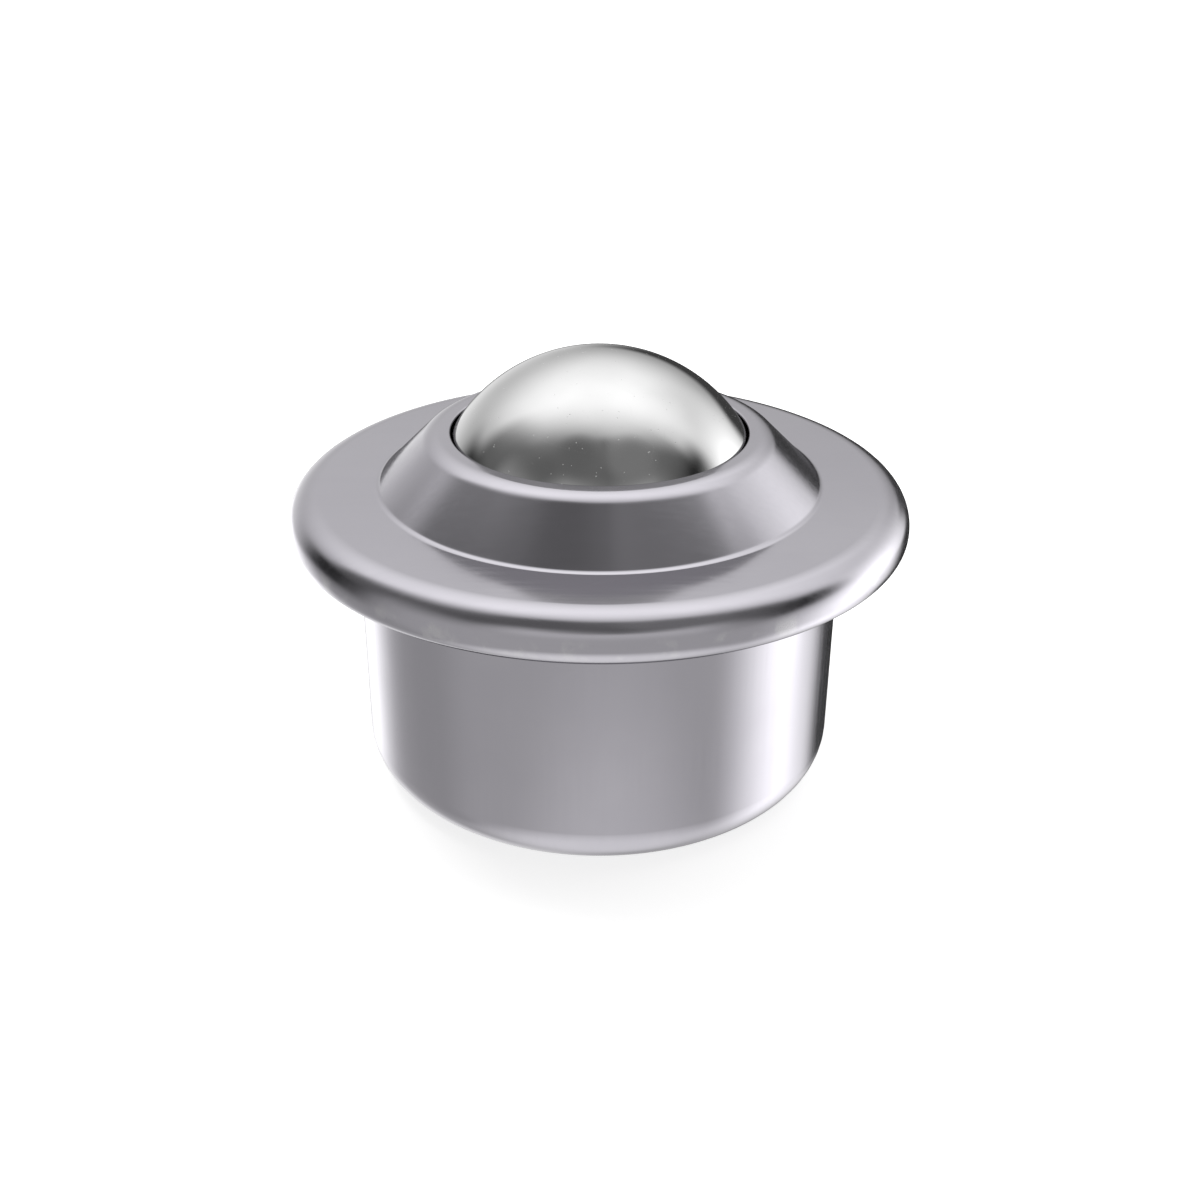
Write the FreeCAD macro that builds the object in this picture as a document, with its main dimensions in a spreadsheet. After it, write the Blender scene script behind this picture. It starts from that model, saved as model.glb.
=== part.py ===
import FreeCAD, Part
import math
import os

import Sketcher

# Ball castor for a 30 mm load ball, millimetres, +Z up.
# The origin is the middle of the housing's flat bottom, and the ball stands up out of the cover.
SIZES = {
    # Load ball, the ring of small balls under it, and the play of the rolling fit
    "load_ball_diameter": 30.0,
    "bearing_ball_diameter": 4.7625,
    "rolling_play": 0.05,
    "ball_to_ball_gap": 0.16,
    "row_to_row_gap": 0.27,
    "bearing_ball_rows": 5,
    # Hardened raceway cup
    "race_foot_thickness": 2.0,
    "race_wall": 2.4,
    "race_rim_angle": 72.0,
    "race_rim_round": 0.25,
    "race_least_rim": 0.15,
    "race_seat_play": 0.05,
    # Drawn housing
    "housing_diameter": 42.5,
    "housing_height": 25.7,
    "housing_sheet": 1.5,
    "housing_foot_radius": 4.0,
    "housing_neck_radius": 1.3,
    # Pressed cover, crimped round the housing's flange
    "cover_diameter": 54.0,
    "cover_sheet": 1.3,
    "cover_shoulder_radius": 2.6,
    "crimp_play": 0.15,
    "crimp_bend": 0.1,
    "crimp_lap": 2.2,
    "crimp_neck_gap": 0.1,
    "crimp_edge_round": 0.4,
    "cone_foot_diameter": 38.5,
    "cone_height": 4.6,
    "cone_angle": 45.0,
    "cone_foot_radius": 0.7,
    "lip_bend_radius": 1.5,
    "lip_edge_round": 0.3,
    "mouth_gap": 0.4,
    # Felt ring pressed into the cone
    "seal_gap": 0.3,
    "seal_seat_play": 0.05,
    "seal_headroom": 1.2,
    "seal_height": 2.8,
    "seal_land": 2.0,
}
SHEET_NAME = "sizes"


class Size:
    """A number together with the formula that gives it, so one line sets both."""

    def __init__(self, value, formula):
        self.value = value
        self.formula = formula

    def __add__(self, other):
        other = as_size(other)
        return Size(self.value + other.value, f"({self.formula} + {other.formula})")

    def __sub__(self, other):
        other = as_size(other)
        return Size(self.value - other.value, f"({self.formula} - {other.formula})")

    def __mul__(self, other):
        other = as_size(other)
        return Size(self.value * other.value, f"({self.formula} * {other.formula})")

    def __truediv__(self, other):
        other = as_size(other)
        return Size(self.value / other.value, f"({self.formula} / {other.formula})")


def as_size(number):
    return number if isinstance(number, Size) else Size(number, str(number))


def smaller(first, second):
    return Size(min(first.value, second.value), f"min({first.formula}; {second.formula})")


def larger(first, second):
    return Size(max(first.value, second.value), f"max({first.formula}; {second.formula})")


def square_root(size):
    return Size(math.sqrt(size.value), f"sqrt({size.formula})")


def sine(angle):
    return Size(math.sin(math.radians(angle.value)), f"sin({angle.formula})")


def cosine(angle):
    return Size(math.cos(math.radians(angle.value)), f"cos({angle.formula})")


def tangent(angle):
    return Size(math.tan(math.radians(angle.value)), f"tan({angle.formula})")


def named(name):
    return Size(SIZES[name], f"{SHEET_NAME}.{name}")


def make_sheet(document):
    sheet = document.addObject("Spreadsheet::Sheet", SHEET_NAME)
    for row, (name, number) in enumerate(SIZES.items(), start=1):
        sheet.set(f"A{row}", name)
        sheet.set(f"B{row}", str(number))
        sheet.setAlias(f"B{row}", name)
    document.recompute()


def height_on_ball(ball, across):
    """Height of a ball's surface over its middle, at this distance from its upright axis."""
    return square_root(ball * ball - across * across)


class Layout:
    """Heights and radii that several pieces share, worked out from the driving sizes."""

    def __init__(self):
        self.ball_radius = named("load_ball_diameter") / 2
        self.small_radius = named("bearing_ball_diameter") / 2
        self.pitch_radius = self.ball_radius + named("rolling_play") + self.small_radius
        self.race_radius = self.pitch_radius + self.small_radius + named("rolling_play")
        self.floor = named("housing_sheet")
        self.ball_height = self.floor + named("race_foot_thickness") + self.race_radius

        self.housing_outside = named("housing_diameter") / 2
        self.housing_inside = self.housing_outside - named("housing_sheet")
        self.housing_top = named("housing_height")
        self.flange_under = self.housing_top - named("housing_sheet")

        # The race ends at its rim angle, or lower where the housing is too narrow for that
        self.land_radius = self.housing_inside - named("race_seat_play")
        self.rim_radius = smaller(
            self.race_radius * sine(named("race_rim_angle")),
            self.land_radius - named("race_least_rim"),
        )
        self.rim_height = self.ball_height - height_on_ball(self.race_radius, self.rim_radius)

        self.cover_top = self.housing_top + named("cover_sheet")
        self.cover_outside = named("cover_diameter") / 2
        self.cover_inside = self.cover_outside - named("cover_sheet")
        self.crimp_under = self.flange_under - named("cover_sheet")
        self.flange_radius = self.cover_inside - named("crimp_play")
        # The crimp laps under the flange, and always ends clear of the housing's neck
        self.crimp_end = larger(
            self.flange_radius - named("crimp_lap"),
            self.housing_outside + named("housing_neck_radius") + named("crimp_neck_gap"),
        )

        self.lip_top = self.cover_top + named("cone_height")
        self.lip_under = self.lip_top - named("cover_sheet")
        self.cone_slope = tangent(named("cone_angle"))
        self.sheet_shift = named("cover_sheet") * tangent(named("cone_angle") / 2)
        self.cone_foot = named("cone_foot_diameter") / 2
        self.cone_head = self.cone_foot - named("cone_height") / self.cone_slope


def origin_plane(body, role):
    return next(f for f in body.Origin.OriginFeatures if f.Role == role)


def revolved_section(document, label, corners):
    """A body turned about Z from a closed section of corners, each a radius and a height."""
    body = document.addObject("PartDesign::Body", f"{label}_body")
    sketch = body.newObject("Sketcher::SketchObject", f"{label}_section")
    sketch.AttachmentSupport = [(origin_plane(body, "XZ_Plane"), "")]
    sketch.MapMode = "FlatFace"
    points = [FreeCAD.Vector(radius.value, height.value, 0) for radius, height in corners]
    count = len(points)
    for side in range(count):
        sketch.addGeometry(Part.LineSegment(points[side], points[(side + 1) % count]), False)
    for side in range(count):
        following = (side + 1) % count
        sketch.addConstraint(Sketcher.Constraint("Coincident", side, 2, following, 1))
    for side, (radius, height) in enumerate(corners):
        place_corner(sketch, side, radius, height)
    revolution = body.newObject("PartDesign::Revolution", f"{label}_turned")
    revolution.Profile = sketch
    revolution.ReferenceAxis = (sketch, ["V_Axis"])
    revolution.Angle = 360
    sketch.Visibility = False
    document.recompute()
    body.Label = label
    return body


def place_corner(sketch, side, radius, height):
    """Tie the corner that starts a side to the axis and the base line, or place it on them."""
    if radius.value == 0:
        sketch.addConstraint(Sketcher.Constraint("PointOnObject", side, 1, -2))
    else:
        index = sketch.addConstraint(
            Sketcher.Constraint("DistanceX", -1, 1, side, 1, radius.value)
        )
        sketch.setExpression(f"Constraints[{index}]", radius.formula)
    if height.value == 0:
        sketch.addConstraint(Sketcher.Constraint("PointOnObject", side, 1, -1))
    else:
        index = sketch.addConstraint(
            Sketcher.Constraint("DistanceY", -1, 1, side, 1, height.value)
        )
        sketch.setExpression(f"Constraints[{index}]", height.formula)


def circles_of(shape):
    """Number, radius and height of each circular edge of a turned piece."""
    for number, edge in enumerate(shape.Edges, start=1):
        if edge.Degenerated:
            continue
        if isinstance(edge.Curve, Part.Circle):
            yield number, edge.Curve.Radius, edge.Curve.Center.z


def circle_at(shape, radius, height):
    """Number of the circle about Z that lies at this radius and height."""
    for number, across, up in circles_of(shape):
        if abs(across - radius.value) < 1e-4 and abs(up - height.value) < 1e-4:
            return number
    raise ValueError(f"no circle of radius {radius.value} at height {height.value}")


def top_circle_on_ball(shape, ball, middle):
    """Number of the highest circle about Z that lies on a ball of this radius and middle."""
    found = [
        (up, number)
        for number, across, up in circles_of(shape)
        if abs(math.hypot(across, up - middle.value) - ball.value) < 1e-4
    ]
    return max(found)[1]


def round_circle(document, body, name, corner, radius):
    """Round the circular edge that one corner of the section has swept."""
    base = body.Tip
    fillet = body.newObject("PartDesign::Fillet", name)
    fillet.Base = (base, [f"Edge{circle_at(base.Shape, *corner)}"])
    fillet.Radius = radius.value
    fillet.setExpression("Radius", radius.formula)
    document.recompute()
    body.Tip = fillet


def make_housing(document, at):
    """Deep-drawn cup: flat bottom, straight wall and a flange turned out at the top."""
    zero = Size(0, "0")
    corners = {
        "axis_under": (zero, zero),
        "foot": (at.housing_outside, zero),
        "neck": (at.housing_outside, at.flange_under),
        "flange_low": (at.flange_radius, at.flange_under),
        "flange_high": (at.flange_radius, at.housing_top),
        "throat": (at.housing_inside, at.housing_top),
        "floor": (at.housing_inside, at.floor),
        "axis_top": (zero, at.floor),
    }
    body = revolved_section(document, "housing", list(corners.values()))
    sheet = named("housing_sheet")
    rim_round = named("cover_shoulder_radius") - named("cover_sheet") - named("crimp_play")
    rounds = {
        "foot": named("housing_foot_radius"),
        "floor": named("housing_foot_radius") - sheet,
        "neck": named("housing_neck_radius"),
        "throat": named("housing_neck_radius") + sheet,
        "flange_high": rim_round,
        "flange_low": named("crimp_bend"),
    }
    for corner, radius in rounds.items():
        round_circle(document, body, f"housing_{corner}_round", corners[corner], radius)
    return body


def make_cover(document, at):
    """Pressed cap: a cone, a flat, a rim crimped under the flange, and a mouth for the ball."""
    zero = Size(0, "0")
    corners = {
        "lip_low": (zero, at.lip_under),
        "lip_high": (zero, at.lip_top),
        "lip_out": (at.cone_head, at.lip_top),
        "foot_out": (at.cone_foot, at.cover_top),
        "shoulder_out": (at.cover_outside, at.cover_top),
        "crimp_out": (at.cover_outside, at.crimp_under),
        "crimp_end_low": (at.crimp_end, at.crimp_under),
        "crimp_end_high": (at.crimp_end, at.flange_under),
        "crimp_in": (at.cover_inside, at.flange_under),
        "shoulder_in": (at.cover_inside, at.housing_top),
        "foot_in": (at.cone_foot - at.sheet_shift, at.housing_top),
        "lip_in": (at.cone_head - at.sheet_shift, at.lip_under),
    }
    body = revolved_section(document, "cover_blank", list(corners.values()))
    sheet = named("cover_sheet")
    crimp_flat = at.cover_outside - at.crimp_end - named("crimp_bend") - sheet
    rounds = {
        "shoulder_out": named("cover_shoulder_radius"),
        "shoulder_in": named("cover_shoulder_radius") - sheet,
        "crimp_out": named("crimp_bend") + sheet,
        "crimp_in": named("crimp_bend"),
        "crimp_end_low": smaller(named("crimp_edge_round"), crimp_flat / 2),
        "foot_out": named("cone_foot_radius"),
        "foot_in": named("cone_foot_radius") + sheet,
        "lip_out": named("lip_bend_radius"),
        "lip_in": named("lip_bend_radius") - sheet,
    }
    for corner, radius in rounds.items():
        round_circle(document, body, f"cover_{corner}_round", corners[corner], radius)
    mouth = named("load_ball_diameter") / 2 + named("mouth_gap")
    opened = cut_by_ball(document, "cover_mouth", body, mouth, at.ball_height)
    edge = top_circle_on_ball(opened.Shape, mouth, at.ball_height)
    return round_edge(document, "cover", opened, edge, named("lip_edge_round"))


def make_seal(document, at):
    """Felt ring between the cone and the ball, cut to the ball's curve with a gap."""
    zero = Size(0, "0")
    top = at.lip_under - named("seal_headroom")
    low = top - named("seal_height")
    play = named("seal_seat_play") / sine(named("cone_angle"))
    top_radius = at.cone_head - at.sheet_shift + named("seal_headroom") / at.cone_slope - play
    corners = [
        (zero, low),
        (zero, top),
        (top_radius, top),
        (top_radius + named("seal_land"), top - named("seal_land") * at.cone_slope),
        (top_radius + named("seal_land"), low),
    ]
    plug = revolved_section(document, "felt_plug", corners)
    wiper = named("load_ball_diameter") / 2 + named("seal_gap")
    seal = cut_by_ball(document, "felt_wiper", plug, wiper, at.ball_height)
    seal.Label = "felt_seal"
    return seal


def make_sphere(document, name, radius, height):
    sphere = document.addObject("Part::Sphere", name)
    sphere.setExpression("Radius", radius.formula)
    sphere.setExpression("Placement.Base.z", height.formula)
    return sphere


def cut_by_ball(document, name, blank, radius, height):
    """Hollow a piece with a ball whose middle is on the axis."""
    cut = document.addObject("Part::Cut", name)
    cut.Base = blank
    cut.Tool = make_sphere(document, f"{name}_ball", radius, height)
    document.recompute()
    return cut


def round_edge(document, label, piece, edge, radius):
    rounded = document.addObject("Part::Fillet", f"{label}_rounded")
    rounded.Base = piece
    rounded.Edges = [(edge, radius.value, radius.value)]
    rounded.Label = label
    return rounded


def make_raceway_cup(document, at):
    """Hardened cup: a ball-shaped shell with a flat foot and a land that fits the housing."""
    outside = make_sphere(document, "race_outside", at.race_radius + named("race_wall"), at.ball_height)
    land = document.addObject("Part::Cylinder", "race_land")
    land.setExpression("Radius", at.land_radius.formula)
    land.setExpression("Height", (at.rim_height - at.floor).formula)
    land.setExpression("Placement.Base.z", at.floor.formula)
    blank = document.addObject("Part::Common", "race_blank")
    blank.Base = outside
    blank.Tool = land
    hollow = cut_by_ball(document, "race_hollow", blank, at.race_radius, at.ball_height)
    edge = circle_at(hollow.Shape, at.rim_radius, at.rim_height)
    rim_wall = at.land_radius - at.rim_radius
    return round_edge(
        document, "raceway_cup", hollow, edge, smaller(named("race_rim_round"), rim_wall / 2)
    )


def make_load_ball(document, at):
    ball = make_sphere(document, "load_ball_sphere", at.ball_radius, at.ball_height)
    ball.Label = "load_ball"
    return ball


def bearing_ball_places(at):
    """Polar angle from straight down and turn about Z of each small ball, row by row.

    A row that would bear on the race's rim, or above it, is left out.
    """
    diameter = named("bearing_ball_diameter").value
    pitch = at.pitch_radius.value
    row_step = 2 * math.degrees(
        math.asin((diameter + named("row_to_row_gap").value) / (2 * pitch))
    )
    spacing = diameter + named("ball_to_ball_gap").value
    rim_polar = math.degrees(math.asin(at.rim_radius.value / at.race_radius.value))
    rim_edge = math.degrees(named("race_rim_round").value / at.race_radius.value)
    places = [(0.0, 0.0)]
    for row in range(1, int(named("bearing_ball_rows").value)):
        polar = row * row_step
        if polar > rim_polar - rim_edge:
            break
        half_turn = math.asin(spacing / (2 * pitch * math.sin(math.radians(polar))))
        count = math.floor(math.pi / half_turn)
        places += [(polar, 360 * (place + row / 2) / count) for place in range(count)]
    return places


def make_bearing_balls(document, at):
    """Small balls that fill the cup in rows, each a piece of its own."""
    balls = []
    for number, (polar, turn) in enumerate(bearing_ball_places(at), start=1):
        across = at.pitch_radius * Size(math.sin(math.radians(polar)), f"sin({polar:.6f})")
        down = at.pitch_radius * Size(math.cos(math.radians(polar)), f"cos({polar:.6f})")
        ball = make_sphere(
            document, f"bearing_sphere_{number:02d}", at.small_radius, at.ball_height - down
        )
        ball.setExpression("Placement.Base.x", f"{across.formula} * cos({turn:.6f})")
        ball.setExpression("Placement.Base.y", f"{across.formula} * sin({turn:.6f})")
        ball.Label = f"bearing_ball_{number:02d}"
        balls.append(ball)
    return balls


def check(document, pieces):
    """Stop before anything is written if a feature failed or a piece isn't one sound solid."""
    for feature in document.Objects:
        if "Invalid" in feature.State or "Error" in feature.State:
            raise RuntimeError(f"{feature.Name} failed: {feature.State}")
    for piece in pieces:
        shape = piece.Shape
        if shape.isNull() or not shape.isValid() or len(shape.Solids) != 1:
            raise RuntimeError(f"{piece.Label} isn't one sound solid")


def main():
    document = FreeCAD.newDocument("ball_castor")
    make_sheet(document)
    at = Layout()
    pieces = [
        make_housing(document, at),
        make_cover(document, at),
        make_seal(document, at),
        make_raceway_cup(document, at),
        make_load_ball(document, at),
    ]
    pieces += make_bearing_balls(document, at)
    document.recompute()
    check(document, pieces)
    os.makedirs("parts", exist_ok=True)
    for piece in pieces:
        piece.Shape.exportStep(f"parts/{piece.Label}.step")
        print(f"{piece.Label}: {piece.Shape.Volume:.2f} mm3")
    print(f"{len(pieces)} pieces")


main()
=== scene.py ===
"""Looks of the ball castor: its pressed sheet pieces, balls and felt ring, and the studio round it."""

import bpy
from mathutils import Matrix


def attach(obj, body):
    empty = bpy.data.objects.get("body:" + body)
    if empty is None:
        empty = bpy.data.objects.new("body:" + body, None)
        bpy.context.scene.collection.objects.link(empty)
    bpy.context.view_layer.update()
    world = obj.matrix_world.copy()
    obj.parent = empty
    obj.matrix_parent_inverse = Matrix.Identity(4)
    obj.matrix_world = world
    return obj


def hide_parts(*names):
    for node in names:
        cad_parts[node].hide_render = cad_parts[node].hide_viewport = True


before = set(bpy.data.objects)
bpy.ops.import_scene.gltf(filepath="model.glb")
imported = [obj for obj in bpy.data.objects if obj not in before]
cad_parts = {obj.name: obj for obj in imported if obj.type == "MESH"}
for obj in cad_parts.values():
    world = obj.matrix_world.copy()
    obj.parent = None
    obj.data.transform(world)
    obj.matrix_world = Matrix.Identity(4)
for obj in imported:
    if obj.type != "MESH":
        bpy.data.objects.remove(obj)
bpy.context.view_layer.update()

import logging
import math
from dataclasses import dataclass, field
from enum import Enum
from typing import Sequence

import bpy
import numpy as np
from mathutils import Matrix, Vector

MM = 0.001
# BALL_HEIGHT, SHARP_BEND and ON_AXIS are lengths in mm
BALL_HEIGHT = 23.3625
SHARP_BEND = 0.03
SHARP_CHORDS = 3
SUPPORT_SHARE = 0.3
ON_AXIS = 1e-9
log = logging.getLogger("ball_castor")


class Body(Enum):
    """The bodies that new pieces ride on."""

    HOUSING = "housing"
    LOAD_BALL = "load_ball"


class Grain(Enum):
    """Which way the fine marks of rolling or drawing run on a sheet piece."""

    UP_THE_WALL = (1.0, 1.0, 0.035)
    ACROSS_THE_RING = (0.03, 1.0, 1.0)


@dataclass(frozen=True)
class Corner:
    """A corner of a turned section, in mm: its sharp point, and the radius of the bend there."""

    radius: float
    height: float
    bend: float = 0.0


def bent_section(corners: Sequence[Corner], steps: int = 12, support: float = 0.12) -> np.ndarray:
    """Outline of a turned section with its corners bent round.

    A bend is the arc that touches both straight sides: its start, turned about the bend's middle
    by evenly spaced shares of the angle between the sides. One more point on each side, a little
    way off, keeps the straight sides straight in the shading. A corner with no bend of its own is
    only just broken, by SHARP_BEND, and corners on the axis stay sharp.

    Args:
        corners: The sharp corners in order.
        steps: Chords in each bend.
        support: How far off the extra points lie, in mm.

    Returns:
        An array of radius and height rows, in mm, that runs anticlockwise.
    """
    points = np.array([(c.radius, c.height) for c in corners])
    sides = np.roll(points, -1, axis=0) - points
    lengths = np.hypot(sides[:, 0], sides[:, 1])
    along = sides / lengths[:, None]
    arriving = np.roll(along, 1, axis=0)
    turns = np.arctan2(
        arriving[:, 0] * along[:, 1] - arriving[:, 1] * along[:, 0], np.sum(arriving * along, axis=1)
    )
    bends = np.array([corner.bend or SHARP_BEND for corner in corners])
    reaches = np.where(points[:, 0] == 0, 0.0, bends * np.tan(np.abs(turns) / 2))
    straight = lengths - reaches - np.roll(reaches, -1)
    parts = []
    for number, corner in enumerate(corners):
        here, turn, bend = points[number], turns[number], bends[number]
        if corner.radius == 0:
            parts.append(here[None, :])
            continue
        before, after = arriving[number], along[number]
        start = here - before * reaches[number]
        middle = start + np.sign(turn) * bend * np.array([-before[1], before[0]])
        angles = np.linspace(0, turn, (steps if corner.bend else SHARP_CHORDS) + 1)
        arm = start - middle
        arc = middle + np.stack([
            np.cos(angles) * arm[0] - np.sin(angles) * arm[1],
            np.sin(angles) * arm[0] + np.cos(angles) * arm[1],
        ], axis=1)
        lead = arc[0] - before * min(support, SUPPORT_SHARE * straight[number - 1])
        trail = arc[-1] + after * min(support, SUPPORT_SHARE * straight[number])
        parts.append(np.vstack([lead, arc, trail]))
    section = np.vstack(parts)
    following = np.roll(section, -1, axis=0)
    area = np.sum(section[:, 0] * following[:, 1] - following[:, 0] * section[:, 1])
    return section if area > 0 else section[::-1]


def turned_mesh(name: str, section: np.ndarray, around: int) -> bpy.types.Mesh:
    """Mesh of a section carried once round the castor's axis.

    The point at section place i and turn angle t is (radius_i cos t, radius_i sin t, height_i).
    A closed section becomes a ring; one that starts and ends on the axis gets a pole at each end.

    Args:
        name: Name of the mesh.
        section: Radius and height rows in mm, anticlockwise.
        around: Points in each circle.

    Returns:
        The mesh, in metres, smooth shaded, with its faces pointing outwards.
    """
    on_axis = section[:, 0] < ON_AXIS
    rings = section[~on_axis]
    if on_axis.any():
        start = int(np.argmax(on_axis & ~np.roll(on_axis, -1)))
        ordered = np.roll(section, -start, axis=0)
        rings = ordered[ordered[:, 0] > ON_AXIS]
    turn = np.linspace(0, 2 * math.pi, around, endpoint=False)
    count = len(rings)
    vertices = np.stack([
        rings[:, 0, None] * np.cos(turn),
        rings[:, 0, None] * np.sin(turn),
        np.broadcast_to(rings[:, 1, None], (count, around)),
    ], axis=-1).reshape(-1, 3)
    column = np.arange(around)
    beside = (column + 1) % around
    row = np.arange(count - 1 if on_axis.any() else count)[:, None]
    above = (row + 1) % count
    quads = np.stack([
        row * around + column, row * around + beside, above * around + beside, above * around + column,
    ], axis=-1).reshape(-1, 4)
    triangles = np.zeros((0, 3), dtype=int)
    if on_axis.any():
        poles = np.array([[0, 0, ordered[0, 1]], [0, 0, section[on_axis][:, 1].sum() - ordered[0, 1]]])
        vertices = np.vstack([vertices, poles])
        last = (count - 1) * around
        first_fan = np.stack([np.full(around, count * around), beside, column], axis=-1)
        last_fan = np.stack([np.full(around, count * around + 1), last + column, last + beside], axis=-1)
        triangles = np.vstack([first_fan, last_fan])
    mesh = bpy.data.meshes.new(name)
    mesh.from_pydata((vertices * MM).tolist(), [], quads.tolist() + triangles.tolist())
    mesh.polygons.foreach_set("use_smooth", np.ones(len(mesh.polygons), dtype=bool))
    mesh.validate()
    mesh.update()
    return mesh


class Recipe:
    """A metal or felt material in the making: its node tree, and short ways to add to it."""

    def __init__(self, name: str) -> None:
        """Start with a principled shader that feeds the output, and the piece's own coordinates.

        Args:
            name: Name of the material.
        """
        self.material = bpy.data.materials.new(name)
        self.material.use_nodes = True
        self.tree = self.material.node_tree
        self.tree.nodes.clear()
        self.surface = self.tree.nodes.new("ShaderNodeBsdfPrincipled")
        output = self.tree.nodes.new("ShaderNodeOutputMaterial")
        self.tree.links.new(self.surface.outputs["BSDF"], output.inputs["Surface"])
        self.place = self.tree.nodes.new("ShaderNodeTexCoord").outputs["Object"]

    def node(self, kind: str, inputs: dict | None = None, **settings: object) -> bpy.types.Node:
        """Add one node.

        Args:
            kind: The node's type name.
            inputs: Values or sockets, by input name or number.
            settings: Properties of the node itself.

        Returns:
            The new node.
        """
        made = self.tree.nodes.new(kind)
        for name, value in settings.items():
            setattr(made, name, value)
        for key, value in (inputs or {}).items():
            if isinstance(value, bpy.types.NodeSocket):
                self.tree.links.new(value, made.inputs[key])
            else:
                made.inputs[key].default_value = value
        return made

    def stretched(self, stretch: tuple[float, float, float], turn: float = 0.0) -> bpy.types.NodeSocket:
        """The piece's coordinates, turned about Z and then stretched."""
        turned = self.node("ShaderNodeMapping", {"Vector": self.place, "Rotation": (0.0, 0.0, turn)})
        return self.node(
            "ShaderNodeMapping", {"Vector": turned.outputs[0], "Scale": stretch}
        ).outputs[0]

    def noise(
        self,
        size: float,
        detail: float = 2.0,
        stretch: tuple[float, float, float] = (1, 1, 1),
        turn: float = 0.0,
    ) -> bpy.types.NodeSocket:
        """Noise whose patches are about size mm across before the stretch, as a value round 0.5."""
        return self.node(
            "ShaderNodeTexNoise",
            {"Vector": self.stretched(stretch, turn), "Scale": 1 / (size * MM), "Detail": detail},
        ).outputs[0]

    def dots(self, size: float) -> bpy.types.NodeSocket:
        """Distance to scattered points about size mm apart, as a share of that size."""
        return self.node(
            "ShaderNodeTexVoronoi", {"Vector": self.place, "Scale": 1 / (size * MM)}
        ).outputs["Distance"]

    def span(
        self, value: bpy.types.NodeSocket, low: float, high: float, to_low: float = 0.0, to_high: float = 1.0
    ) -> bpy.types.NodeSocket:
        """Carry value from the range low to high smoothly onto to_low to to_high, and hold it there."""
        return self.node(
            "ShaderNodeMapRange",
            {"Value": value, "From Min": low, "From Max": high, "To Min": to_low, "To Max": to_high},
            interpolation_type="SMOOTHSTEP",
        ).outputs["Result"]

    def maths(
        self, operation: str, first: bpy.types.NodeSocket | float, second: bpy.types.NodeSocket | float = 0.0
    ) -> bpy.types.NodeSocket:
        """One sum on one or two values."""
        return self.node("ShaderNodeMath", {0: first, 1: second}, operation=operation).outputs[0]

    def blended(
        self, share: bpy.types.NodeSocket, plain: tuple | bpy.types.NodeSocket, other: tuple
    ) -> bpy.types.NodeSocket:
        """Colour that goes from plain to other as share goes from 0 to 1."""
        return self.node(
            "ShaderNodeMix", {"Factor": share, 6: plain, 7: other}, data_type="RGBA"
        ).outputs[2]

    def from_axis(self) -> bpy.types.NodeSocket:
        """Distance from the castor's axis, in metres."""
        flat = self.node("ShaderNodeVectorMath", {0: self.place, 1: (1, 1, 0)}, operation="MULTIPLY")
        return self.node(
            "ShaderNodeVectorMath", {0: flat.outputs[0]}, operation="LENGTH"
        ).outputs["Value"]

    def relief(self, height: bpy.types.NodeSocket, depth: float, strength: float) -> None:
        """Roughen the surface by height, with depth in mm between its 0 and 1.

        Args:
            height: The relief as a value.
            depth: Depth in mm.
            strength: Share of that depth that shows.
        """
        normal = self.surface.inputs["Normal"]
        inputs = {"Height": height, "Distance": depth * MM, "Strength": strength}
        if normal.is_linked:
            inputs["Normal"] = normal.links[0].from_socket
        bump = self.node("ShaderNodeBump", inputs)
        self.tree.links.new(bump.outputs["Normal"], normal)

    def feed(self, name: str, value: bpy.types.NodeSocket) -> None:
        """Join a value or colour to one of the shader's inputs."""
        self.tree.links.new(value, self.surface.inputs[name])

    def fixed(self, **values: object) -> None:
        """Set inputs of the shader that are the same all over; an underscore stands for a space."""
        for name, value in values.items():
            self.surface.inputs[name.replace("_", " ")].default_value = value


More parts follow.
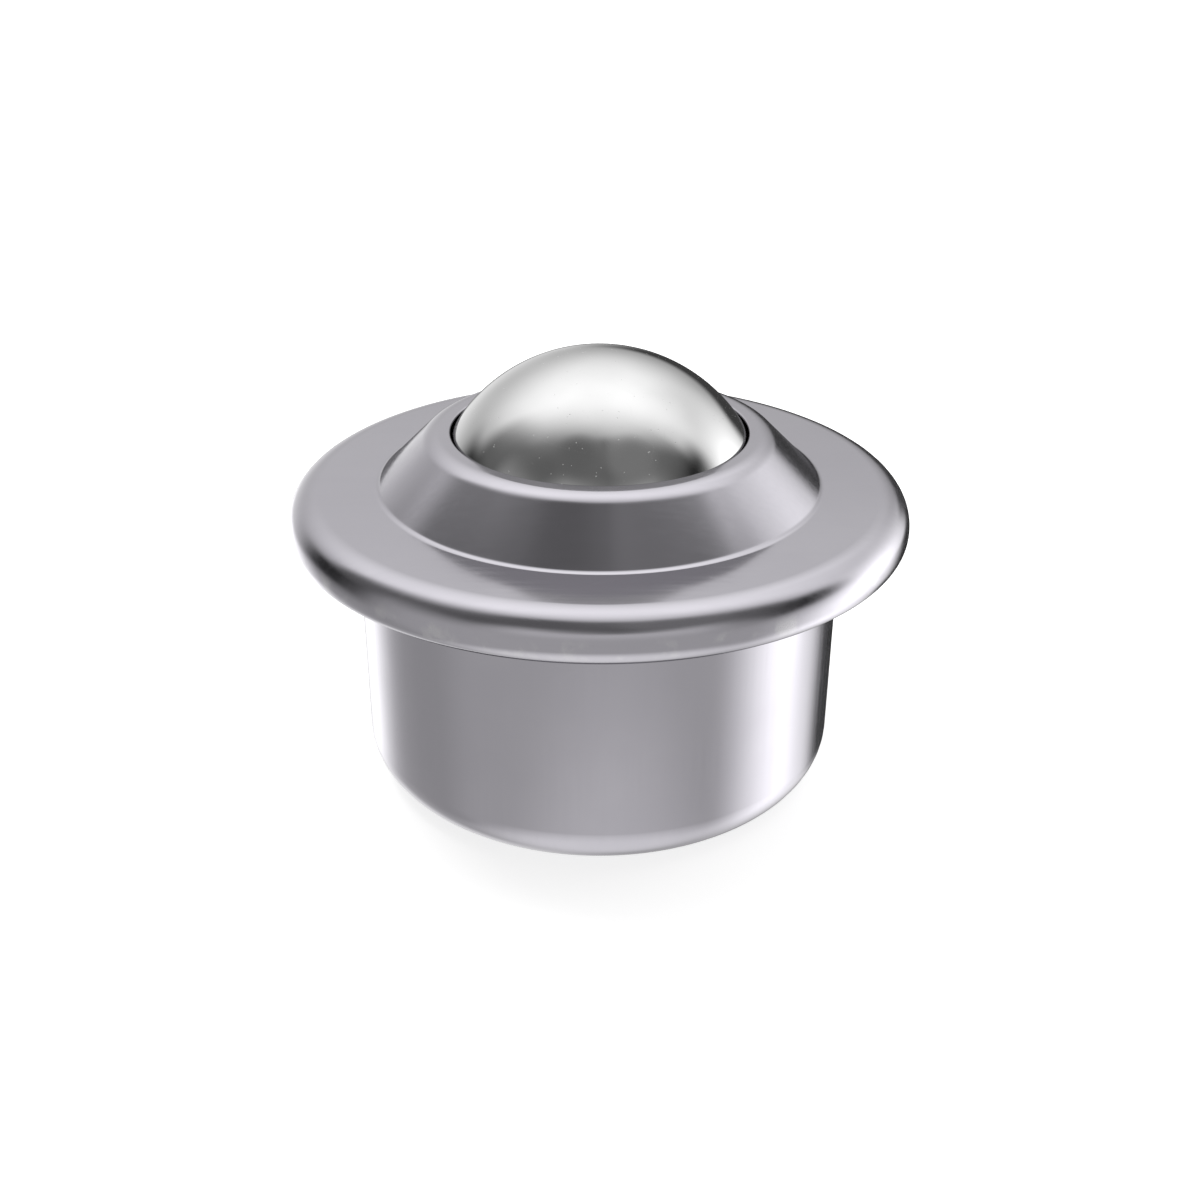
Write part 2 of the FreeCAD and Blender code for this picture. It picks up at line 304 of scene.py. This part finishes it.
@dataclass(frozen=True)
class PressedSteel:
    """Bright plated sheet steel, with marks of rolling or drawing, faint scratches and rubbed edges.

    Sizes and depths are in mm. The rubbed edge sets in between two distances from the castor's
    axis, rub_from and rub_to; on a piece that ends before them, nothing is rubbed.
    """

    name: str
    grain: Grain
    colour: tuple[float, float, float] = (0.630, 0.612, 0.660)
    shade: tuple[float, float, float] = (0.597, 0.580, 0.628)
    rubbed: tuple[float, float, float] = (0.72, 0.71, 0.73)
    roughness: float = 0.13
    cloud_size: float = 11.0
    streak_size: float = 0.45
    streak_depth: float = 0.002
    fine_size: float = 0.12
    fine_depth: float = 0.0012
    scratch_spacing: float = 1.9
    scratch_width: float = 0.0035
    scratch_depth: float = 0.002
    patch_size: float = 5.0
    rub_size: float = 2.2
    rub_from: float = 26.75
    rub_to: float = 27.0

    def material(self) -> bpy.types.Material:
        """Make the material.

        Returns:
            The new material.
        """
        mix = Recipe(self.name)
        clouds = mix.span(mix.noise(self.cloud_size, 3.0), 0.35, 0.65)
        streaks = mix.noise(self.streak_size, 4.0, self.grain.value)
        fine = mix.noise(self.fine_size)
        scratch = self.scratches(mix)
        rub = mix.maths(
            "MULTIPLY",
            mix.span(mix.from_axis(), self.rub_from * MM, self.rub_to * MM),
            mix.span(mix.noise(self.rub_size, 4.0), 0.50, 0.66),
        )
        tone = mix.blended(clouds, (*self.colour, 1), (*self.shade, 1))
        tone = mix.blended(mix.span(streaks, 0.3, 0.75, 0.0, 0.35), tone, (*self.shade, 1))
        tone = mix.blended(mix.maths("MULTIPLY", rub, 0.7), tone, (*self.rubbed, 1))
        mix.feed("Base Color", tone)
        rough = mix.maths("ADD", self.roughness, mix.span(streaks, 0.3, 0.7, -0.02, 0.03))
        rough = mix.maths("ADD", rough, mix.span(clouds, 0.0, 1.0, -0.015, 0.03))
        rough = mix.maths("ADD", rough, mix.maths("MULTIPLY", scratch, 0.06))
        rough = mix.maths("ADD", rough, mix.maths("MULTIPLY", rub, 0.10))
        mix.feed("Roughness", rough)
        mix.fixed(Metallic=1.0)
        mix.relief(streaks, self.streak_depth, 0.30)
        mix.relief(fine, self.fine_depth, 0.30)
        mix.relief(mix.maths("SUBTRACT", 1.0, scratch), self.scratch_depth, 0.20)
        return mix.material

    def scratches(self, mix: Recipe) -> bpy.types.NodeSocket:
        """Thin marks: the places where two long stretched noises pass their middle value.

        Args:
            mix: The material in the making.

        Returns:
            A value that is 1 on a mark and 0 elsewhere.
        """
        lines = []
        for stretch, turn in (((0.09, 1.0, 0.7), 0.6), ((0.12, 1.0, 0.9), -0.9)):
            noise = mix.noise(self.scratch_spacing, 1.0, stretch, turn)
            ridge = mix.maths("ABSOLUTE", mix.maths("SUBTRACT", noise, 0.5))
            lines.append(mix.span(ridge, 0.0, self.scratch_width, 1.0, 0.0))
        patches = mix.span(mix.noise(self.patch_size), 0.50, 0.62)
        return mix.maths("MULTIPLY", mix.maths("MAXIMUM", lines[0], lines[1]), patches)


@dataclass(frozen=True)
class PolishedSteel:
    """Lapped and polished ball steel: a mirror with small pinpricks and a few hair scratches.

    Sizes and depths are in mm, but the specks' size is a share of their spacing.
    """

    name: str
    colour: tuple[float, float, float] = (0.82, 0.82, 0.82)
    roughness: float = 0.075
    cloud_size: float = 6.0
    speck_spacing: float = 0.62
    speck_size: float = 0.11
    speck_depth: float = 0.006
    patch_size: float = 2.8
    hair_spacing: float = 2.6
    hair_width: float = 0.0025
    lap_size: float = 0.3
    lap_depth: float = 0.0004

    def material(self) -> bpy.types.Material:
        """Make the material.

        Returns:
            The new material.
        """
        mix = Recipe(self.name)
        clouds = mix.span(mix.noise(self.cloud_size), 0.35, 0.65)
        specks = mix.maths(
            "MULTIPLY",
            mix.span(mix.dots(self.speck_spacing), self.speck_size * 0.5, self.speck_size, 1.0, 0.0),
            mix.span(mix.noise(self.patch_size, 1.0), 0.44, 0.49),
        )
        noise = mix.noise(self.hair_spacing, 1.0, (0.1, 1.0, 0.6), 0.5)
        ridge = mix.maths("ABSOLUTE", mix.maths("SUBTRACT", noise, 0.5))
        hair = mix.maths("MULTIPLY", mix.span(ridge, 0.0, self.hair_width, 1.0, 0.0), 0.5)
        shade = tuple(0.95 * part for part in self.colour)
        mix.feed("Base Color", mix.blended(clouds, (*self.colour, 1), (*shade, 1)))
        mix.feed("Metallic", mix.span(specks, 0.0, 1.0, 1.0, 0.25))
        rough = mix.maths("ADD", self.roughness, mix.span(clouds, 0.0, 1.0, -0.01, 0.015))
        rough = mix.maths("ADD", rough, mix.maths("MULTIPLY", mix.maths("MAXIMUM", specks, hair), 0.25))
        mix.feed("Roughness", rough)
        mix.relief(mix.maths("SUBTRACT", 1.0, specks), self.speck_depth, 0.5)
        mix.relief(mix.noise(self.lap_size), self.lap_depth, 0.3)
        return mix.material


@dataclass(frozen=True)
class OiledSteel:
    """Hardened and oiled steel, with turning marks and a patchy film of oil (sizes in mm)."""

    name: str
    colour: tuple[float, float, float] = (0.34, 0.335, 0.33)
    oiled: tuple[float, float, float] = (0.22, 0.20, 0.17)
    roughness: float = 0.3
    film_size: float = 4.0
    ring_size: float = 0.35
    ring_depth: float = 0.006

    def material(self) -> bpy.types.Material:
        """Make the material.

        Returns:
            The new material.
        """
        mix = Recipe(self.name)
        film = mix.span(mix.noise(self.film_size, 4.0), 0.42, 0.62)
        rings = mix.noise(self.ring_size, 3.0, (0.05, 0.05, 1.0))
        mix.feed("Base Color", mix.blended(film, (*self.colour, 1), (*self.oiled, 1)))
        mix.feed("Roughness", mix.maths("SUBTRACT", self.roughness, mix.maths("MULTIPLY", film, 0.12)))
        mix.fixed(Metallic=1.0, Coat_Weight=0.25, Coat_Roughness=0.12)
        mix.relief(rings, self.ring_depth, 0.5)
        return mix.material


@dataclass(frozen=True)
class Felt:
    """Dark pressed wool felt, matted, with a soft nap and fibres in all directions (sizes in mm)."""

    name: str
    colour: tuple[float, float, float] = (0.030, 0.029, 0.028)
    pale: tuple[float, float, float] = (0.075, 0.072, 0.068)
    fibre_size: float = 0.16
    crossed_size: float = 0.20
    fibre_depth: float = 0.06
    matted_size: float = 1.6
    matted_depth: float = 0.15

    def material(self) -> bpy.types.Material:
        """Make the material.

        Returns:
            The new material.
        """
        mix = Recipe(self.name)
        fibres = mix.noise(self.fibre_size, 6.0, (1.0, 1.0, 0.35), 0.4)
        crossed = mix.noise(self.crossed_size, 6.0, (0.3, 1.0, 1.0), -0.7)
        matted = mix.noise(self.matted_size, 3.0)
        both = mix.maths("MAXIMUM", fibres, crossed)
        tone = mix.blended(mix.span(both, 0.45, 0.80), (*self.colour, 1), (*self.pale, 1))
        tone = mix.blended(mix.span(matted, 0.45, 0.75, 0.0, 0.5), tone, (*self.colour, 1))
        mix.feed("Base Color", tone)
        mix.feed("Roughness", mix.span(matted, 0.3, 0.7, 0.88, 1.0))
        mix.fixed(Sheen_Weight=0.35, Sheen_Roughness=0.5, Specular_IOR_Level=0.2)
        mix.relief(matted, self.matted_depth, 0.5)
        mix.relief(both, self.fibre_depth, 0.8)
        return mix.material


def dress(piece: bpy.types.Object, material: bpy.types.Material) -> None:
    """Give a piece one material all over."""
    piece.data.materials.clear()
    piece.data.materials.append(material)


def place(
    mesh: bpy.types.Mesh, node: str, body: Body, material: bpy.types.Material
) -> bpy.types.Object:
    """Put a new piece into the scene in the place of a CAD node.

    Args:
        mesh: The piece's mesh, in the castor's own frame.
        node: The CAD node that it stands for.
        body: The body it rides on.
        material: Its finish.

    Returns:
        The new object.
    """
    piece = bpy.data.objects.new(mesh.name, mesh)
    bpy.context.scene.collection.objects.link(piece)
    dress(piece, material)
    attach(piece, body.value)
    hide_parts(node)
    log.info("%s: %d faces, in place of %s, on %s", piece.name, len(mesh.polygons), node, body.value)
    return piece


@dataclass
class Housing:
    """Deep-drawn cup with a flat bottom and a flange turned out at its top (mm)."""

    radius: float = 21.25
    sheet: float = 1.5
    height: float = 25.7
    foot_bend: float = 4.0
    neck_bend: float = 1.3
    flange_radius: float = 25.55
    flange_low_bend: float = 0.1
    flange_top_bend: float = 1.15
    around: int = 288
    finish: PressedSteel = PressedSteel("drawn_steel", Grain.UP_THE_WALL, rub_from=40.0, rub_to=41.0)

    def section(self) -> np.ndarray:
        """The half section, from the axis under the floor round to the axis over it.

        Returns:
            Radius and height rows in mm.
        """
        inside = self.radius - self.sheet
        under = self.height - self.sheet
        return bent_section([
            Corner(0, 0),
            Corner(self.radius, 0, self.foot_bend),
            Corner(self.radius, under, self.neck_bend),
            Corner(self.flange_radius, under, self.flange_low_bend),
            Corner(self.flange_radius, self.height, self.flange_top_bend),
            Corner(inside, self.height, self.neck_bend + self.sheet),
            Corner(inside, self.sheet, self.foot_bend - self.sheet),
            Corner(0, self.sheet),
        ])

    def build(self) -> None:
        """Turn the section and put the cup in its place."""
        mesh = turned_mesh("drawn_housing", self.section(), self.around)
        place(mesh, "housing", Body.HOUSING, self.finish.material())


@dataclass
class Cover:
    """Pressed ring with its cone, flat and crimped rim (mm and degrees)."""

    radius: float = 27.0
    sheet: float = 1.3
    top: float = 27.0
    flange_under: float = 24.2
    shoulder_bend: float = 2.6
    crimp_end: float = 23.35
    crimp_bend: float = 0.1
    crimp_end_bend: float = 0.4
    cone_foot: float = 19.25
    cone_head: float = 14.65
    cone_angle: float = 45.0
    lip_top: float = 31.6
    foot_bend: float = 0.7
    lip_bend: float = 2.1
    lip_edge_bend: float = 0.15
    mouth: float = 15.17
    around: int = 288
    finish: PressedSteel = PressedSteel("pressed_steel", Grain.ACROSS_THE_RING)

    def on_mouth(self, height: float) -> float:
        """Radius at which the sheet's end keeps its gap from the ball at this height."""
        return math.sqrt(self.mouth**2 - (height - BALL_HEIGHT) ** 2)

    def section(self) -> np.ndarray:
        """The closed section, from the crimped end round the outside to the mouth and back inside.

        Returns:
            Radius and height rows in mm.
        """
        lip_under = self.lip_top - self.sheet
        inside = self.radius - self.sheet
        slant = self.sheet * math.tan(math.radians(self.cone_angle / 2))
        under = self.flange_under - self.sheet
        return bent_section([
            Corner(self.crimp_end, self.flange_under),
            Corner(self.crimp_end, under, self.crimp_end_bend),
            Corner(self.radius, under, self.crimp_bend + self.sheet),
            Corner(self.radius, self.top, self.shoulder_bend),
            Corner(self.cone_foot, self.top, self.foot_bend),
            Corner(self.cone_head, self.lip_top, self.lip_bend),
            Corner(self.on_mouth(self.lip_top), self.lip_top, self.lip_edge_bend),
            Corner(self.on_mouth(lip_under), lip_under),
            Corner(self.cone_head - slant, lip_under, self.lip_bend - self.sheet),
            Corner(self.cone_foot - slant, self.top - self.sheet, self.foot_bend + self.sheet),
            Corner(inside, self.top - self.sheet, self.shoulder_bend - self.sheet),
            Corner(inside, self.flange_under, self.crimp_bend),
        ])

    def build(self) -> None:
        """Turn the section and put the ring in its place."""
        mesh = turned_mesh("pressed_cover", self.section(), self.around)
        place(mesh, "cover", Body.HOUSING, self.finish.material())


@dataclass
class FeltRing:
    """Felt ring between the cone and the ball, cut to the ball's curve (mm)."""

    wiper: float = 15.3
    wiper_steps: int = 6
    low: float = 26.3
    top: float = 29.1
    outside: float = 17.241
    land: float = 2.0
    edge_bend: float = 0.15
    wiper_bend: float = 0.2
    shoulder_bend: float = 0.3
    nap: float = 0.03
    around: int = 240
    finish: Felt = Felt("dark_felt")

    def on_wiper(self, height: float) -> float:
        """Radius of the arc that wipes the ball, at this height."""
        return math.sqrt(self.wiper**2 - (height - BALL_HEIGHT) ** 2)

    def section(self) -> np.ndarray:
        """The closed section: an arc concentric with the ball, then the top, cone side and bottom."""
        heights = np.linspace(self.low, self.top, self.wiper_steps + 1)[1:-1].tolist()
        return bent_section([
            Corner(self.on_wiper(self.low), self.low, self.edge_bend),
            *(Corner(self.on_wiper(height), height, self.wiper_bend) for height in heights),
            Corner(self.on_wiper(self.top), self.top, self.edge_bend),
            Corner(self.outside - self.land, self.top, self.edge_bend),
            Corner(self.outside, self.top - self.land, self.shoulder_bend),
            Corner(self.outside, self.low, self.edge_bend),
        ], steps=3)

    def build(self) -> None:
        """Turn the section, sink its surface unevenly by up to the nap, and put it in its place.

        The depth is the nap times a share from 0 to 1: the mean of three sines of the turn and the
        height, halved, plus a half.
        """
        mesh = turned_mesh("felt_ring", self.section(), self.around)
        points = np.empty(len(mesh.vertices) * 3)
        mesh.vertices.foreach_get("co", points)
        points = points.reshape(-1, 3)
        normals = np.empty(len(mesh.vertices) * 3)
        mesh.vertices.foreach_get("normal", normals)
        turn = np.arctan2(points[:, 1], points[:, 0])
        height = points[:, 2] / MM
        waves = ((23, 2.1), (61, -3.3), (97, 5))
        ripple = sum(np.sin(across * turn + up * height) for across, up in waves)
        sink = self.nap * MM * (ripple / 6 + 0.5)
        points -= normals.reshape(-1, 3) * sink[:, None]
        mesh.vertices.foreach_set("co", points.ravel())
        mesh.update()
        place(mesh, "felt_seal", Body.HOUSING, self.finish.material())


@dataclass
class LoadBall:
    """The polished ball that carries the load (mm)."""

    radius: float = 15.0
    rings: int = 121
    around: int = 240
    finish: PolishedSteel = PolishedSteel("polished_ball")

    def build(self) -> None:
        """Turn a half circle: radius R cos a and height R sin a for a from -90 to 90 degrees."""
        angles = np.linspace(-math.pi / 2, math.pi / 2, self.rings)
        heights = BALL_HEIGHT + self.radius * np.sin(angles)
        section = np.stack([self.radius * np.cos(angles), heights], axis=1)
        section[[0, -1], 0] = 0.0
        mesh = turned_mesh("polished_load_ball", section, self.around)
        place(mesh, "load_ball", Body.LOAD_BALL, self.finish.material())


@dataclass
class BallTrack:
    """The hardened cup and its small balls, which keep their CAD shapes and get their finishes."""

    cup_finish: OiledSteel = OiledSteel("oiled_race_steel")
    ball_finish: PolishedSteel = PolishedSteel(
        "bearing_ball_steel", (0.74, 0.73, 0.72), roughness=0.10, speck_spacing=0.8, speck_size=0.05
    )

    def build(self) -> None:
        """Dress the cup and every small ball."""
        dress(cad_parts["raceway_cup"], self.cup_finish.material())
        material = self.ball_finish.material()
        balls = sorted(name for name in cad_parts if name.startswith("bearing_ball_"))
        for name in balls:
            dress(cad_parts[name], material)
        log.info("raceway_cup and %d bearing balls dressed", len(balls))


class Sky:
    """The studio's brightness by direction, in the making: panels are laid over a plain room.

    In radians, the elevation counts from the horizon and the azimuth from -Y, the camera's side,
    towards +X.
    """

    def __init__(self, tree: bpy.types.NodeTree, room_level: float) -> None:
        """Start with a room that is equally bright all round.

        Args:
            tree: The world's node tree.
            room_level: Brightness of the room.
        """
        self.tree = tree
        self.direction = tree.nodes.new("ShaderNodeTexCoord").outputs["Generated"]
        room = tree.nodes.new("ShaderNodeValue")
        room.outputs[0].default_value = room_level
        self.level = room.outputs[0]
        apart = tree.nodes.new("ShaderNodeSeparateXYZ")
        tree.links.new(self.direction, apart.inputs[0])
        self.elevation = self.maths("ARCSINE", apart.outputs["Z"])
        back = self.maths("MULTIPLY", apart.outputs["Y"], -1.0)
        self.azimuth = self.maths("ARCTAN2", apart.outputs["X"], back)

    def maths(
        self, operation: str, first: bpy.types.NodeSocket | float, second: bpy.types.NodeSocket | float = 0.0
    ) -> bpy.types.NodeSocket:
        """One sum on one or two values.

        Args:
            operation: Name of the sum.
            first: The first value.
            second: The second value, where the sum takes one.

        Returns:
            The result.
        """
        made = self.tree.nodes.new("ShaderNodeMath")
        made.operation = operation
        for number, value in enumerate((first, second)):
            if isinstance(value, bpy.types.NodeSocket):
                self.tree.links.new(value, made.inputs[number])
            else:
                made.inputs[number].default_value = value
        return made.outputs[0]

    def facing(self, towards: Sequence[float]) -> bpy.types.NodeSocket:
        """Cosine of the angle between the direction and a unit vector.

        Args:
            towards: The unit vector.

        Returns:
            The cosine.
        """
        made = self.tree.nodes.new("ShaderNodeVectorMath")
        made.operation = "DOT_PRODUCT"
        made.inputs[1].default_value = towards
        self.tree.links.new(self.direction, made.inputs[0])
        return made.outputs["Value"]

    def step(self, value: bpy.types.NodeSocket, outside: float, inside: float) -> bpy.types.NodeSocket:
        """Smooth step from 0 at outside to 1 at inside.

        Args:
            value: What is measured.
            outside: Where the step is 0.
            inside: Where the step is 1.

        Returns:
            The step.
        """
        made = self.tree.nodes.new("ShaderNodeMapRange")
        made.interpolation_type = "SMOOTHSTEP"
        made.inputs["From Min"].default_value = outside
        made.inputs["From Max"].default_value = inside
        self.tree.links.new(value, made.inputs["Value"])
        return made.outputs["Result"]

    def lay(self, mask: bpy.types.NodeSocket, level: float) -> None:
        """Lay a panel of one brightness over what is there, where the mask is 1.

        Args:
            mask: The panel's shape, from 0 to 1.
            level: Its brightness.
        """
        mixed = self.tree.nodes.new("ShaderNodeMix")
        self.tree.links.new(mask, mixed.inputs[0])
        self.tree.links.new(self.level, mixed.inputs[2])
        mixed.inputs[3].default_value = level
        self.level = mixed.outputs[0]


@dataclass(frozen=True)
class RoundPanel:
    """A round panel of the studio, in degrees as seen from the castor."""

    azimuth: float
    elevation: float
    radius: float
    blur: float
    level: float

    def hang(self, sky: Sky) -> None:
        """Lay the panel where the angle from its middle is less than its radius.

        Args:
            sky: The studio in the making.
        """
        turn, rise = math.radians(self.azimuth), math.radians(self.elevation)
        middle = (math.cos(rise) * math.sin(turn), -math.cos(rise) * math.cos(turn), math.sin(rise))
        outside = math.cos(math.radians(self.radius + self.blur))
        inside = math.cos(math.radians(max(self.radius - self.blur, 0)))
        sky.lay(sky.step(sky.facing(middle), outside, inside), self.level)


@dataclass(frozen=True)
class WallPanel:
    """An upright panel of the studio between two azimuths and two elevations, in degrees.

    Where low lies over high, only its soft edges overlap, so the panel is faint.
    """

    azimuth: float
    half_width: float
    low: float
    high: float
    blur_across: float
    blur_up: float
    level: float

    def hang(self, sky: Sky) -> None:
        """Lay the panel where the azimuth and the elevation are both inside its edges.

        The ping-pong of the difference of two azimuths is the angle between them, from 0 to pi.

        Args:
            sky: The studio in the making.
        """
        turn, blur = math.radians(self.azimuth), math.radians(self.blur_up)
        off = sky.maths("PINGPONG", sky.maths("SUBTRACT", sky.azimuth, turn), math.pi)
        half = math.radians(self.half_width)
        low, high = math.radians(self.low), math.radians(self.high)
        soft = math.radians(self.blur_across)
        across = sky.step(off, half + soft, half - soft)
        upwards = sky.maths(
            "MULTIPLY",
            sky.step(sky.elevation, low - blur, low + blur),
            sky.step(sky.elevation, high + blur, high - blur),
        )
        sky.lay(sky.maths("MULTIPLY", across, upwards), self.level)


@dataclass
class Studio:
    """White sweep, soft boxes and the camera (metres and degrees).

    Each panel lies over those before it. The panels' numbers come from a fit that a separate
    script made, so that the steel mirrors light and dark where the photograph's steel does.
    """

    room_level: float = 0.46
    second_depth: float = 2.5
    second_loss: float = 0.68
    panels: tuple[RoundPanel | WallPanel, ...] = (
        RoundPanel(-29, 54, 17, 17, 0.24),
        WallPanel(-8.9, 96, 27, 58, 5.7, 22, 0.11),
        RoundPanel(177, 38, 56, 17, 1.12),
        WallPanel(197, 85, -13, 26, 16, 28, 0.28),
        WallPanel(11.6, 50, 23, 35, 13, 17, 0.79),
        WallPanel(108, 29, -55, 4.1, 25, 18, 1.77),
        WallPanel(-90, 16, -53, -23, 11.2, 6.9, 0.38),
        WallPanel(-99, 14, -10.8, 42, 7.8, 21, 0.12),
        WallPanel(-110, 14, -4.6, 19, 10.8, 6, 0.03),
        WallPanel(79, 18, 14, 37, 7.6, 8.6, 0.00),
        WallPanel(128, 17, -37, 43, 9.3, 25, 0.80),
        WallPanel(111, 16, -11.9, 14, 17, 25, 2.50),
        WallPanel(-153, 22, -67, 8.8, 16, 29, 0.91),
        WallPanel(-144, 7.4, -35, -10.5, 30, 5.4, 2.09),
        WallPanel(163, 32, -36, -9.6, 11.6, 4, 0.04),
        RoundPanel(7.8, -69, 22, 23, 0.92),
        WallPanel(7.5, 10.3, 34, 74, 30, 3.8, 0.12),
        WallPanel(60, 15, 19, 48, 12, 24, 0.12),
        WallPanel(-50, 11.2, 41, 53, 10.8, 9.3, 0.12),
        WallPanel(161, 18, -14, 7.4, 6.3, 4.6, 0.05),
        WallPanel(183, 62, 71, 63, 30, 23, 1.90),
        RoundPanel(-28, 60, 8.9, 8.7, 0.13),
        RoundPanel(37, 56, 11.4, 8.3, 0.20),
    )
    camera_elevation: float = 22.54
    camera_distance: float = 0.1319
    camera_pan: float = -0.045
    camera_tilt: float = -4.697
    camera_roll: float = 0.28
    aim_height: float = 0.027
    lens: float = 45.0
    sensor_width: float = 36.0
    nearest: float = 0.001
    floor_radius: float = 0.8
    floor_points: int = 96
    floor_drop: float = 0.00005
    floor_glow: float = 0.74
    floor_colour: tuple[float, float, float] = (0.88, 0.88, 0.88)
    lamp_at: tuple[float, float, float] = (-0.15, 0.12, 0.5)
    lamp_size: float = 0.3
    lamp_power: float = 0.9

    def build(self) -> None:
        """Make the world, the floor, the lamp and the camera."""
        self.world()
        self.floor()
        self.lamp()
        self.camera()

    def world(self) -> None:
        """White behind the castor; the panels round it for its light and its reflections.

        A reflection of a reflection is dimmed by second_loss: Ray Depth is over second_depth there.
        The world isn't sampled as a lamp: the surfaces' own rays find it, in less render time.
        """
        world = bpy.data.worlds.new("studio")
        bpy.context.scene.world = world
        world.use_nodes = True
        world.cycles.sampling_method = "NONE"
        tree = world.node_tree
        tree.nodes.clear()
        sky = Sky(tree, self.room_level)
        for panel in self.panels:
            panel.hang(sky)
        light = tree.nodes.new("ShaderNodeBackground")
        light.inputs["Color"].default_value = (1, 1, 1, 1)
        depth = tree.nodes.new("ShaderNodeLightPath").outputs["Ray Depth"]
        again = sky.maths("GREATER_THAN", depth, self.second_depth)
        dimmed = sky.maths("SUBTRACT", 1.0, sky.maths("MULTIPLY", again, self.second_loss))
        tree.links.new(sky.maths("MULTIPLY", sky.level, dimmed), light.inputs["Strength"])
        white = tree.nodes.new("ShaderNodeBackground")
        white.inputs["Color"].default_value = (1, 1, 1, 1)
        either = tree.nodes.new("ShaderNodeMixShader")
        tree.links.new(tree.nodes.new("ShaderNodeLightPath").outputs["Is Camera Ray"], either.inputs[0])
        tree.links.new(light.outputs[0], either.inputs[1])
        tree.links.new(white.outputs[0], either.inputs[2])
        output = tree.nodes.new("ShaderNodeOutputWorld")
        tree.links.new(either.outputs[0], output.inputs["Surface"])

    def floor(self) -> None:
        """A pale round sweep under the castor that keeps its soft shadow and shows white elsewhere."""
        turn = np.linspace(0, 2 * math.pi, self.floor_points, endpoint=False)
        rim = np.stack([
            self.floor_radius * np.cos(turn),
            self.floor_radius * np.sin(turn),
            np.full_like(turn, -self.floor_drop),
        ], axis=1)
        mesh = bpy.data.meshes.new("sweep")
        mesh.from_pydata(rim.tolist(), [], [list(range(self.floor_points))])
        floor = bpy.data.objects.new("sweep", mesh)
        bpy.context.scene.collection.objects.link(floor)
        mix = Recipe("pale_sweep")
        mix.fixed(Roughness=1.0, Specular_IOR_Level=0.0)
        mix.surface.inputs["Base Color"].default_value = (*self.floor_colour, 1)
        camera_ray = mix.node("ShaderNodeLightPath").outputs["Is Camera Ray"]
        mix.surface.inputs["Emission Color"].default_value = (1, 1, 1, 1)
        mix.feed("Emission Strength", mix.maths("MULTIPLY", camera_ray, self.floor_glow))
        dress(floor, mix.material)
        floor.visible_glossy = False

    def lamp(self) -> None:
        """One large soft lamp over the castor, a little to the left and behind."""
        data = bpy.data.lights.new("soft_lamp", "AREA")
        data.shape = "DISK"
        data.size = self.lamp_size
        data.energy = self.lamp_power
        lamp = bpy.data.objects.new("soft_lamp", data)
        bpy.context.scene.collection.objects.link(lamp)
        lamp.location = self.lamp_at
        lamp.rotation_euler = Vector(self.lamp_at).to_track_quat("Z", "Y").to_euler()
        lamp.visible_glossy = False

    def camera(self) -> None:
        """The camera: back along its line of sight from a point over the castor, then turned."""
        rise = math.radians(self.camera_elevation)
        back = Vector((0, -math.cos(rise), math.sin(rise)))
        right = Vector((1, 0, 0))
        basis = Matrix((right, back.cross(right), back)).transposed()
        turned = (
            basis
            @ Matrix.Rotation(math.radians(self.camera_pan), 3, "Y")
            @ Matrix.Rotation(math.radians(self.camera_tilt), 3, "X")
            @ Matrix.Rotation(math.radians(self.camera_roll), 3, "Z")
        )
        data = bpy.data.cameras.new("camera")
        data.lens = self.lens
        data.sensor_width = self.sensor_width
        data.clip_start = self.nearest
        camera = bpy.data.objects.new("camera", data)
        bpy.context.scene.collection.objects.link(camera)
        at = Vector((0, 0, self.aim_height)) + self.camera_distance * back
        camera.matrix_world = Matrix.Translation(at) @ turned.to_4x4()
        bpy.context.scene.camera = camera


@dataclass
class BallCastor:
    """The whole castor: its sub-assemblies in the order in which they are built."""

    housing: Housing = field(default_factory=Housing)
    cover: Cover = field(default_factory=Cover)
    felt: FeltRing = field(default_factory=FeltRing)
    track: BallTrack = field(default_factory=BallTrack)
    ball: LoadBall = field(default_factory=LoadBall)

    def build(self) -> None:
        """Build and dress every sub-assembly."""
        for part in (self.housing, self.cover, self.felt, self.track, self.ball):
            part.build()


def main() -> None:
    """Build the castor and its studio."""
    logging.basicConfig(level=logging.INFO, format="%(name)s: %(message)s")
    bpy.context.scene.view_settings.view_transform = "Standard"
    BallCastor().build()
    Studio().build()


if __name__ == "__main__":
    main()
